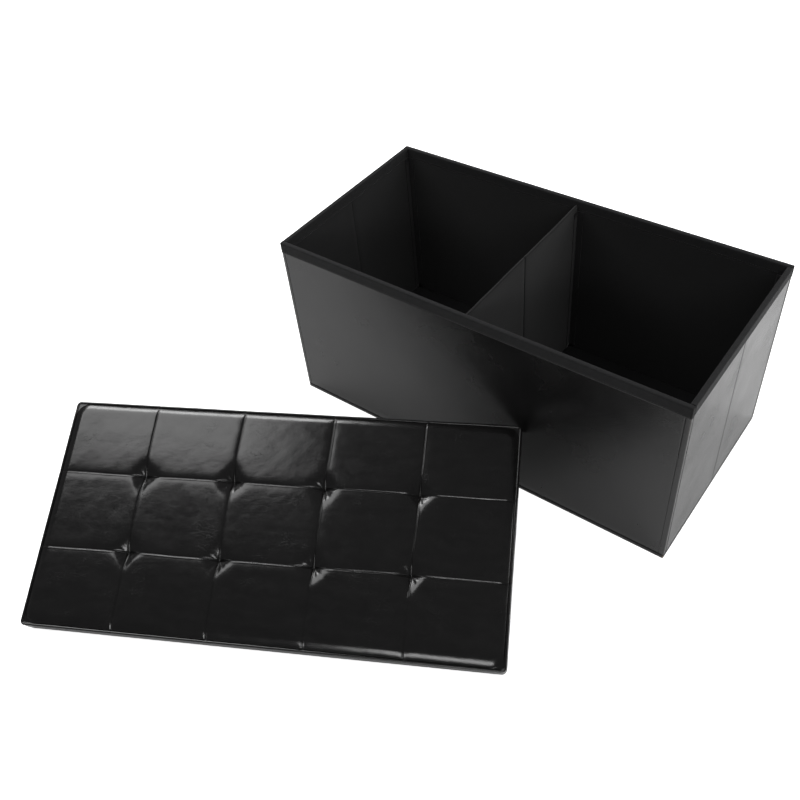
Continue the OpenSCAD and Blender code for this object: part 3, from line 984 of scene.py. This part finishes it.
def makeTuftCords(p):
    lowest = lidSpan("lid_tuft_twine")[0][2]
    steps, around = p["steps"], p["around"]
    t = np.linspace(0, 1, steps)
    swell = 1 + p["knot"] * np.exp(-((1 - t) / p["knotReach"]) ** 2)
    angles = 2 * math.pi * np.arange(around) / around
    circle = np.column_stack([np.cos(angles), np.sin(angles), np.zeros(around)])
    strand = np.array(gridFaces(steps, around, loop=True))
    firstRing = np.arange(around)
    points, faces = [], []
    for a, b in tufts:
        # the cord ends in a small knot at the bottom of its pinch
        top = float(padHeight(np.array([a]), np.array([b]), pad)[0]) + 0.0004
        for ply in range(p["plies"]):
            turn = 2 * math.pi * (p["turns"] * t + ply / p["plies"])
            coil = p["radius"] * 0.5 * swell
            centre = np.column_stack([a + np.cos(turn) * coil, b + np.sin(turn) * coil,
                                      lowest + (top - lowest) * t])
            ring = (p["radius"] * 0.55 * swell)[:, None, None] * circle
            start = len(points) * steps * around
            points.append((centre[:, None, :] + ring).reshape(-1, 3))
            faces += (strand + start).tolist()
            faces.append((firstRing[::-1] + start).tolist())
            faces.append((firstRing + start + (steps - 1) * around).tolist())
    piece = addPiece("lid_tuft_cords", toLid(np.concatenate(points)), faces, "twine")
    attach(piece, "lid")
    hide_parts("lid_tuft_twine")


makeTuftCords(tuftCord)


underside = {
    "clothEdge": 0.0004,
    "clothStep": 0.006,
    "cushionEdge": 0.0018,
    "cushionStep": 0.007,
    "dent": 0.0002,
}


def makeLidUnderside(p):
    cloth = softSlab("lid_base_cloth", *lidSpan("lid_underside_cloth"), p["clothEdge"],
                     p["clothStep"], "lining_cloth", place=toLid)
    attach(cloth, "lid")
    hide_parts("lid_underside_cloth")
    panelLow, panelHigh = lidSpan("lid_locating_panel")

    def dented(points):
        below = points[:, 2] < panelLow[2] + 0.002
        points[:, 2] += p["dent"] * ripple(points, 30, 11) * below
        return points

    panel = softSlab("lid_locating_cushion", panelLow + (0, 0, 0.0003), panelHigh,
                     p["cushionEdge"], p["cushionStep"], "lining_cloth", dented, toLid)
    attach(panel, "lid")
    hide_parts("lid_locating_panel")


makeLidUnderside(underside)
print("lid made")


# box: leatherette skins, laid along a path in plan

skin = {
    "leather": 0.0008,
    "inset": 0.0003,      # stands back from the rim binding
    "cornerRadius": 0.0030,
    "foldRadius": 0.0022,
    "step": 0.004,
    "rowStep": 0.011,
    "wave": 0.00016,
    "seamDip": 0.0005,
    "creaseDip": 0.0011,
    "seamWidth": 0.0014,
    "creaseShare": 0.55,
    "endMarks": (0.0004, 0.0008, 0.0012, 0.0018, 0.0026),  # extra columns at an end
    "dipMarks": (-0.002, -0.0012, -0.0006, 0, 0.0006, 0.0012, 0.002),
    "closest": 0.00015,   # between two columns
    "lap": 0.0004,        # the long walls' leather runs on under the seam
    "wrap": wallThick,    # how far the end leather comes round onto the long walls
    "bend": 0.010,        # of the end leather at a folding corner
    "openCorner": 0.00032,
}


def skinColumns(length, dips, p):
    # the path's own points, with more of them at both ends and at each pressed line
    ends = [v for e in p["endMarks"] for v in (e, length[-1] - e)]
    lines = [d + v for d in dips for v in p["dipMarks"]]
    marks = sorted({round(v, 6) for v in (*length, *ends, *lines)})
    marks = np.array([m for m in marks if 0 <= m <= length[-1]])
    return marks[np.concatenate([[True], np.diff(marks) > p["closest"]])]


def skinDip(marks, dips, seamEnds, p):
    # how deep the leather is pressed in at its sewn ends and creases
    dip = np.zeros(len(marks))
    for at, on in ((0.0, seamEnds[0]), (marks[-1], seamEnds[1])):
        if on:
            near = np.clip(1 - np.abs(marks - at) / p["seamWidth"], 0, 1)
            dip = np.maximum(dip, p["seamDip"] * near ** 1.6)
    for at in dips:
        away = (marks - at) / (p["seamWidth"] * p["creaseShare"])
        dip = np.maximum(dip, p["creaseDip"] * np.exp(-away ** 2))
    return dip


def wrapSkin(name, corners, p, dips=(), seamEnds=(True, True)):
    # corners run along the outer faces, outward on the right of their direction
    path = roundedPath(corners, p["cornerRadius"], p["step"])
    length = pathLength(path)
    marks = skinColumns(length, dips, p)
    path = np.column_stack([np.interp(marks, length, path[:, k]) for k in (0, 1)])
    normal = pathNormals(path)
    dip = skinDip(marks, dips, seamEnds, p)
    radius, rowCount = p["foldRadius"], int((hemBottom - wallBottom) / p["rowStep"])
    rows = [(0.0, hemBottom + 0.004)]
    rows += [(0.0, z) for z in np.linspace(hemBottom - 0.001, wallBottom + radius, rowCount)]
    rows += [(radius * (1 - math.cos(turn)), wallBottom + radius * (1 - math.sin(turn)))
             for turn in foldSteps]
    rows.append((radius + 0.0025, wallBottom))
    grids = []
    for inset, z in rows:
        place = np.column_stack([path, np.full(len(path), z)])
        wave = (ripple(place, 24, 21) - 0.8) * p["wave"]
        fade = np.clip(np.minimum(marks, marks[-1] - marks) / 0.02, 0, 1)
        move = p["inset"] + inset + dip - np.minimum(wave * fade, 0.0002)
        grids.append(np.column_stack([path - normal * move[:, None], np.full(len(path), z)]))
    points = np.concatenate(grids)
    uv = np.column_stack([np.tile(marks, len(rows)), points[:, 2]])
    faces = gridFaces(len(rows), len(path), flip=True)
    return thicken(addPiece(name, points, faces, "leatherette", uv), p["leather"])


def bendsBetween(piece):
    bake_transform(piece)


def makeBoxLeather(p):
    x, y, w, lap, bend = halfLength, halfDepth, p["wrap"], p["lap"], p["bend"]
    crease, openY = creaseHalf, -innerY - p["openCorner"]
    front = wrapSkin("front_leather", [(-x + w - lap, -y), (x - w + lap, -y)], p)
    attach(front, "front_wall")
    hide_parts("front_cover")
    back = wrapSkin("back_leather", [(x - w + lap, y), (-x + w - lap, y)], p)
    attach(back, "base_and_back")
    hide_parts("back_cover")
    # the end leather goes round three corners in one piece; the fourth corner is open
    piece = wrapSkin("left_rear_leather", [(-x + w, y), (-x, y), (-x, crease)], p,
                     seamEnds=(True, False))
    bendsBetween(piece)
    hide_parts("left_rear_cover")
    piece = wrapSkin("left_front_leather", [(-x, -crease), (-x, -y), (-x + w, -y)], p,
                     seamEnds=(False, True))
    bendsBetween(piece)
    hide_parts("left_front_cover")
    piece = wrapSkin("right_rear_leather", [(x, crease), (x, y), (x - w, y)], p,
                     seamEnds=(False, True))
    bendsBetween(piece)
    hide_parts("right_rear_cover")
    piece = wrapSkin("right_front_leather", [(x, -innerY - 0.0002), (x, -crease)], p,
                     seamEnds=(False, False))
    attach(piece, "right_front_flap")
    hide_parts("right_front_cover")
    piece = wrapSkin("right_corner_leather", [(x - w, -y), (x, -y), (x, openY)], p,
                     seamEnds=(True, False))
    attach(piece, "front_wall")
    # strips over the creases, with the fold pressed into the middle
    piece = wrapSkin("left_crease_leather", [(-x, crease), (-x, -crease)], p,
                     dips=(crease,), seamEnds=(False, False))
    bendsBetween(piece)
    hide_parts("left_crease_strip")
    piece = wrapSkin("right_crease_leather", [(x, -crease), (x, crease)], p,
                     dips=(crease,), seamEnds=(False, False))
    bendsBetween(piece)
    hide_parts("right_crease_strip")


makeBoxLeather(skin)

baseEdge = {
    "inset": 0.0003,
    "radius": 0.0018,
    "cornerRadius": 0.004,
    "step": 0.006,
    "turnedIn": 0.006,
    "leather": 0.0006,
}


def makeBaseEdge(p):
    # leatherette round the edge of the base board, turned under it
    x, y, r, top = halfLength - p["inset"], halfDepth - p["inset"], p["radius"], boxHigh.z
    loop = roundedPath([(0, -y), (x, -y), (x, y), (-x, y), (-x, -y), (0, -y)],
                       p["cornerRadius"], p["step"])[:-1]
    ahead = np.roll(loop, -1, axis=0) - np.roll(loop, 1, axis=0)
    ahead /= np.linalg.norm(ahead, axis=1, keepdims=True)
    normal = np.stack([ahead[:, 1], -ahead[:, 0]], axis=1)
    quarter = np.linspace(0, math.pi / 2, 5)
    profile = [(p["turnedIn"], top)]
    profile += [(r * (1 - math.sin(t)), top - r * (1 - math.cos(t))) for t in quarter]
    profile += [(0, top / 2)]
    profile += [(r * (1 - math.cos(t)), r * (1 - math.sin(t))) for t in quarter]
    profile += [(p["turnedIn"], 0.0)]
    points = np.concatenate([np.column_stack([loop - normal * inset, np.full(len(loop), z)])
                             for inset, z in profile])
    uv = np.column_stack([np.tile(pathLength(loop), len(profile)),
                          np.repeat(np.arange(len(profile)) * 0.001, len(loop))])
    faces = gridFaces(len(profile), len(loop), loop=True, flip=True)
    piece = addPiece("base_edge_leather", points, faces, "leatherette", uv)
    thicken(piece, p["leather"])
    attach(piece, "base_and_back")
    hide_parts("base_edge_band")


makeBaseEdge(baseEdge)
print("box leather made")


# box: rim bindings, linings, floor cloth

binding = {
    "topRadius": 0.0025,
    "endRadius": 0.0022,
    "endMarks": (0.0, 0.0003, 0.0007, 0.0012, 0.0017, 0.0022),
    "step": 0.006,
    "lipHeight": 0.0016,
    "lip": 0.0004,
    "sag": 0.00045,       # of the lower edge
    "sagHeight": 0.006,
    "uneven": 0.00018,
}


def rimBinding(name, node, body, along, outer, roundEnds, p):
    # along is the wall's long axis, 0 or 1; outer is the side that faces out, -1 or 1
    lowest, highest = (np.array(c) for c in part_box(node))
    across = 1 - along
    width, span = highest[across] - lowest[across], highest[along] - lowest[along]
    r, end = p["topRadius"], p["endRadius"]
    profile = [(p["lip"], hemBottom), (0.0, hemBottom + p["lipHeight"])]
    profile += [(0.0, z) for z in np.linspace(hemBottom + 0.004, rimTop - r, 5)]
    profile += [(r * (1 - math.cos(t)), rimTop - r * (1 - math.sin(t)))
                for t in np.linspace(0.2, math.pi / 2, 6)]
    profile += [(width / 2, rimTop)]
    profile += [(width - a, z) for a, z in profile[-2::-1]]
    profile = np.array(profile)
    stations = list(p["endMarks"]) + list(np.linspace(end, span - end, int(span / p["step"])))[1:-1]
    stations += [span - e for e in p["endMarks"][::-1]]
    rings = []
    for s in stations:
        a, z = profile[:, 0].copy(), profile[:, 1].copy()
        for distance, on in ((s, roundEnds[0]), (span - s, roundEnds[1])):
            if on and distance < end:
                back = end - math.sqrt(end ** 2 - (end - distance) ** 2)
                a = np.clip(a, back, width - back)
                z = np.minimum(z, rimTop - back)
        ring = np.zeros((len(profile), 3))
        ring[:, along] = lowest[along] + s
        ring[:, across] = (lowest[across] + a) if outer < 0 else (highest[across] - a)
        ring[:, 2] = z
        rings.append(ring)
    points = np.concatenate(rings)
    lower = np.clip(1 - (points[:, 2] - hemBottom) / p["sagHeight"], 0, 1)
    points[:, 2] += lower * p["sag"] * ripple(points, 52, 31)
    side = np.sign(points[:, across] - (lowest[across] + highest[across]) / 2)
    points[:, across] -= side * p["uneven"] * np.abs(ripple(points, 70, 33)) * (1 - lower)
    flip = (outer < 0) == (along == 0)
    faces = gridFaces(len(stations), len(profile), loop=True, flip=not flip)
    first = list(range(len(profile)))
    last = [len(points) - len(profile) + k for k in first]
    faces += [first if not flip else first[::-1], last[::-1] if not flip else last]
    uv = np.column_stack([np.repeat(stations, len(profile)),
                          np.tile(pathLength(profile), len(stations))])
    piece = addPiece(name, points, faces, "rim_binding", uv)
    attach(piece, body)
    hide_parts(node)


walls = {
    # wall: (body, long axis, outer side, rounded ends)
    "front": ("front_wall", 0, -1, (True, True)),
    "back": ("base_and_back", 0, 1, (True, True)),
    "left_rear": ("left_rear_flap", 1, -1, (False, False)),
    "left_front": ("left_front_flap", 1, -1, (False, False)),
    "right_rear": ("right_rear_flap", 1, 1, (False, False)),
    "right_front": ("right_front_flap", 1, 1, (False, False)),
}
for wall, (body, along, outer, ends) in walls.items():
    rimBinding(wall + "_rim_binding", wall + "_hem", body, along, outer, ends, binding)

lining = {"radius": 0.0003, "step": 0.011, "wave": 0.00042}


def makeLining(node, name, body, axis, side, p):
    # side: the face, along axis, that shows inside the box; it only waves back into the wall
    lowest, highest = (np.array(c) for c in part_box(node))
    face = highest[axis] if side > 0 else lowest[axis]

    def waved(points):
        near = np.clip(1 - np.abs(points[:, axis] - face) / (liningThick * 0.6), 0, 1)
        away = np.minimum(points - lowest, highest - points)
        away[:, axis] = 1.0
        fade = np.clip(away.min(axis=1) / 0.02, 0, 1)
        depth = np.clip(0.5 + 0.35 * ripple(points, 26, 41) + 0.2 * ripple(points, 75, 43), 0, 1)
        points[:, axis] -= side * p["wave"] * depth * near * fade
        return points

    piece = softSlab(name, lowest, highest, p["radius"], p["step"], "lining_cloth", waved)
    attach(piece, body)
    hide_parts(node)


for wall, (body, along, outer, ends) in walls.items():
    makeLining(wall + "_lining", wall + "_lining_cloth", body, 1 - along, -outer, lining)
makeLining("base_lining", "base_floor_cloth", "base_and_back", 2, 1, lining)
print("rims and linings made")


# divider and inner tapes

divider = {
    "radius": 0.0021,
    "cardRadius": 0.0004,
    "step": 0.008,
    "bow": 0.0006,
    "edgeWave": 0.0010,
}


def makeDivider(p):
    def wavy(points):
        # held at the walls, free along its top edge
        height = np.clip((points[:, 2] - wallBottom) / (dividerTop - wallBottom), 0, 1)
        hold = np.clip((1 - np.abs(points[:, 1]) / innerY) / 0.12, 0, 1)
        lengthwise = points * (0, 1, 0)
        bow = ripple(lengthwise, 19, 51) * height + 0.4 * ripple(points * (0, 1, 1), 23, 52)
        points[:, 0] += p["bow"] * hold * (0.35 + 0.65 * height) * bow
        points[:, 2] += p["edgeWave"] * hold * height ** 4 * (ripple(lengthwise, 33, 53) - 0.7)
        return points

    for half in ("rear", "front"):
        card = softSlab(f"divider_{half}_card", *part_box(f"divider_{half}_board"),
                        p["cardRadius"], p["step"], "divider_card", wavy)
        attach(card, f"divider_{half}")
        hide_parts(f"divider_{half}_board")
        lowest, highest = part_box(f"divider_{half}_cloth")
        sleeve = softSlab(f"divider_{half}_sleeve", lowest, highest, p["radius"], p["step"],
                          "lining_cloth", wavy)
        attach(sleeve, f"divider_{half}")
        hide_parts(f"divider_{half}_cloth")


makeDivider(divider)

tape = {
    "cornerRadius": 0.0016,
    "step": 0.0022,
    "rowStep": 0.012,
    "cloth": 0.0006,
    "wave": 0.00014,
}


def makeTape(name, node, corners, top, p):
    path = roundedPath(corners, p["cornerRadius"], p["step"])
    normal = pathNormals(path)
    heights = np.linspace(wallBottom, top, int((top - wallBottom) / p["rowStep"]))
    grids = []
    for z in heights:
        place = np.column_stack([path, np.full(len(path), z)])
        wave = p["wave"] * np.abs(ripple(place, 60, 61))
        grids.append(np.column_stack([path - normal * wave[:, None], np.full(len(path), z)]))
    points = np.concatenate(grids)
    uv = np.column_stack([np.tile(pathLength(path), len(heights)), points[:, 2]])
    piece = addPiece(name, points, gridFaces(len(heights), len(path)), "lining_cloth", uv)
    thicken(piece, p["cloth"])
    bendsBetween(piece)
    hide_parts(node)


def makeTapes(p):
    x, y, t, leg, d = innerX, innerY, tapeThick, tapeLeg, dividerHalf
    turn, fold = leg / 2, creaseHalf
    makeTape("left_rear_tape", "left_rear_corner_tape",
             [(-x + t, y - leg), (-x + t, y - t), (-x + leg, y - t)],
             hemBottom, p)
    makeTape("right_rear_tape", "right_rear_corner_tape",
             [(x - leg, y - t), (x - t, y - t), (x - t, y - leg)],
             hemBottom, p)
    makeTape("left_front_tape", "left_front_corner_tape",
             [(-x + leg, -y + t), (-x + t, -y + t), (-x + t, -y + leg)],
             hemBottom, p)
    makeTape("divider_back_tape", "divider_rear_tape",
             [(d + t, y - leg), (d + t, y - t), (d + leg, y - t)],
             hemBottom, p)
    makeTape("divider_fold_tape", "divider_crease_tape", [(-d, fold), (-d, -fold)],
             dividerTop - 0.002, p)


makeTapes(tape)
print("divider and tapes made")


# stitches along the bindings

stitching = {
    "pitch": 0.0043,
    "stitch": 0.0031,
    "thread": 0.00030,
    "tilt": 0.05,
    "seed": 7,
    "up": 0.0036,         # over the binding's lower edge
    "fromEnd": 0.004,
    "sunk": 0.00012,
    "waver": 0.0003,
}


def stitchRowTree():
    tree = bpy.data.node_groups.new("stitchRow", "GeometryNodeTree")
    sockets = {}
    labels = {"Path": "Geometry", "Pitch": "Float", "Stitch Length": "Float",
              "Thread Radius": "Float", "Tilt": "Float", "Seed": "Int", "Thread": "Material",
              "Stitches": "Geometry"}
    for label, kind in labels.items():
        direction = "OUTPUT" if label == "Stitches" else "INPUT"
        socket = tree.interface.new_socket(name=label, in_out=direction,
                                           socket_type="NodeSocket" + kind)
        sockets[label] = socket.identifier

    def place(kind, **fixed):
        node = tree.nodes.new(kind)
        for key, value in fixed.items():
            setattr(node, key, value)
        return node

    given, result = place("NodeGroupInput"), place("NodeGroupOutput")
    curve = place("GeometryNodeMeshToCurve")
    spots = place("GeometryNodeCurveToPoints", mode="LENGTH")
    bead = place("GeometryNodeMeshUVSphere")
    bead.inputs["Segments"].default_value, bead.inputs["Rings"].default_value = 6, 5
    bead.inputs["Radius"].default_value = 1.0
    size = place("ShaderNodeCombineXYZ")
    halfStitch = place("ShaderNodeMath", operation="MULTIPLY")
    halfStitch.inputs[1].default_value = 0.5
    shape = place("GeometryNodeTransform")
    rows = place("GeometryNodeInstanceOnPoints")
    chance = place("FunctionNodeRandomValue", data_type="FLOAT_VECTOR")
    lowest = place("ShaderNodeMath", operation="MULTIPLY")
    lowest.inputs[1].default_value = -1.0
    tilted = place("GeometryNodeRotateInstances")
    solid = place("GeometryNodeRealizeInstances")
    smooth = place("GeometryNodeSetShadeSmooth")
    finish = place("GeometryNodeSetMaterial")
    link = tree.links.new
    link(given.outputs["Path"], curve.inputs["Mesh"])
    link(curve.outputs["Curve"], spots.inputs["Curve"])
    link(given.outputs["Pitch"], spots.inputs["Length"])
    link(given.outputs["Thread Radius"], size.inputs["X"])
    link(given.outputs["Thread Radius"], size.inputs["Y"])
    link(given.outputs["Stitch Length"], halfStitch.inputs[0])
    link(halfStitch.outputs[0], size.inputs["Z"])
    link(bead.outputs["Mesh"], shape.inputs["Geometry"])
    link(size.outputs["Vector"], shape.inputs["Scale"])
    link(spots.outputs["Points"], rows.inputs["Points"])
    link(spots.outputs["Rotation"], rows.inputs["Rotation"])
    link(shape.outputs["Geometry"], rows.inputs["Instance"])
    link(given.outputs["Tilt"], lowest.inputs[0])
    link(lowest.outputs[0], chance.inputs["Min"])
    link(given.outputs["Tilt"], chance.inputs["Max"])
    link(given.outputs["Seed"], chance.inputs["Seed"])
    link(rows.outputs["Instances"], tilted.inputs["Instances"])
    link(chance.outputs["Value"], tilted.inputs["Rotation"])
    link(tilted.outputs["Instances"], solid.inputs["Geometry"])
    link(solid.outputs["Geometry"], smooth.inputs["Geometry"])
    link(smooth.outputs["Geometry"], finish.inputs["Geometry"])
    link(given.outputs["Thread"], finish.inputs["Material"])
    link(finish.outputs["Geometry"], result.inputs["Stitches"])
    return tree, sockets


stitchTree, stitchSockets = stitchRowTree()


def sewRows(name, rows, body, p):
    # rows are polylines in the row frame; one mesh of stitches for one body
    points, edges = [], []
    for row in rows:
        edges += [(len(points) + k, len(points) + k + 1) for k in range(len(row) - 1)]
        points += [tuple(v) for v in row]
    mesh = bpy.data.meshes.new(name)
    mesh.from_pydata(points, edges, [])
    piece = bpy.data.objects.new(name, mesh)
    scene.collection.objects.link(piece)
    rowModifier = piece.modifiers.new("stitches", "NODES")
    rowModifier.node_group = stitchTree
    values = {"Pitch": p["pitch"], "Stitch Length": p["stitch"], "Thread Radius": p["thread"],
              "Tilt": p["tilt"], "Seed": p["seed"], "Thread": finishes["twine"]}
    for label, value in values.items():
        rowModifier[stitchSockets[label]] = value
    settle(piece)
    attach(piece, body)


def sewBindings(p):
    for wall, (body, along, outer, ends) in walls.items():
        lowest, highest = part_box(wall + "_hem")
        across = 1 - along
        rows = []
        for side in (-1, 1):
            face = highest[across] - p["sunk"] if side > 0 else lowest[across] + p["sunk"]
            row = []
            span = highest[along] - lowest[along]
            for t in np.linspace(p["fromEnd"], span - p["fromEnd"], 40):
                spot = [0.0, 0.0, hemBottom + p["up"]]
                spot[along], spot[across] = lowest[along] + t, face
                spot[2] += p["waver"] * math.sin(t * 31 + across)
                row.append(spot)
            rows.append(row)
        sewRows(wall + "_rim_stitches", rows, body, p)


sewBindings(stitching)
print("stitches sewn")

bpy.context.view_layer.update()
